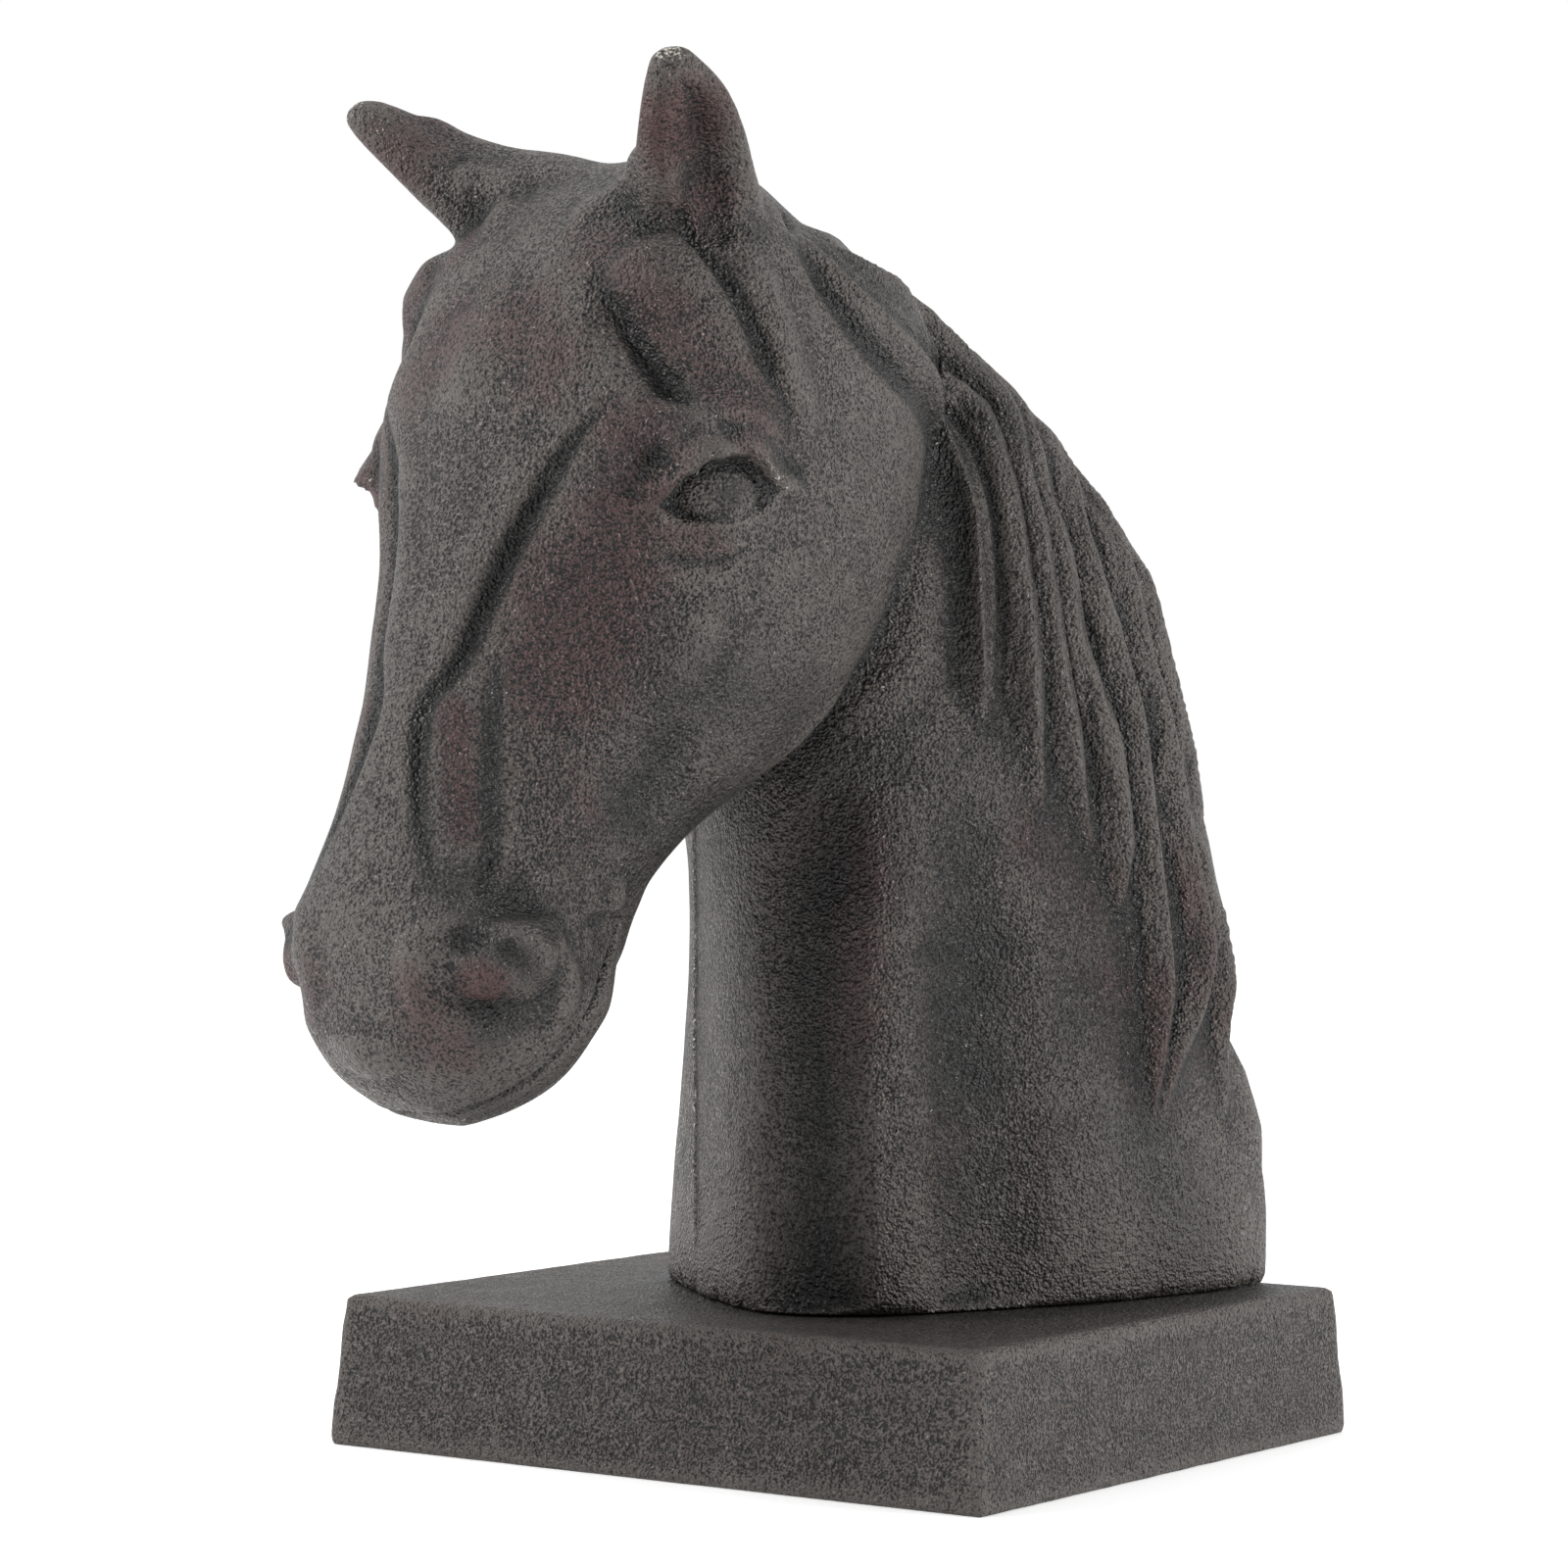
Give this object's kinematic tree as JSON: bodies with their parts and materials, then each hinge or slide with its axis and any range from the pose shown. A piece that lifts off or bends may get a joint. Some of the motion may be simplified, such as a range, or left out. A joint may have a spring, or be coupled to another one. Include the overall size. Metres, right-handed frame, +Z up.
{
  "type": "horse bookend",
  "caption": "Cast iron bookend shaped as a turned horse's head and neck on a square plinth, standing on its flat underside beside a row of books.",
  "frame": {"origin": "centre of the plinth's underside", "axes": "+Z up; the horse's head faces -Y, turned a little towards -X, and its crest runs back towards +X and +Y"},
  "size_m": [0.11, 0.1484, 0.1934],
  "materials": {
    "bust_iron": "antique brown and charcoal paint on sand-cast iron, matte satin, pebbled like fine orange peel, reddish brown in patches, near black in the creases, worn pale at the ear tips",
    "plinth_iron": "the same antique brown and charcoal paint over a coarser pebbled casting skin, matte satin, a little lighter along its edges"
  },
  "bodies": {
    "root": {"horse_bust": "bust_iron", "plinth": "plinth_iron"}
  },
  "joints": []
}
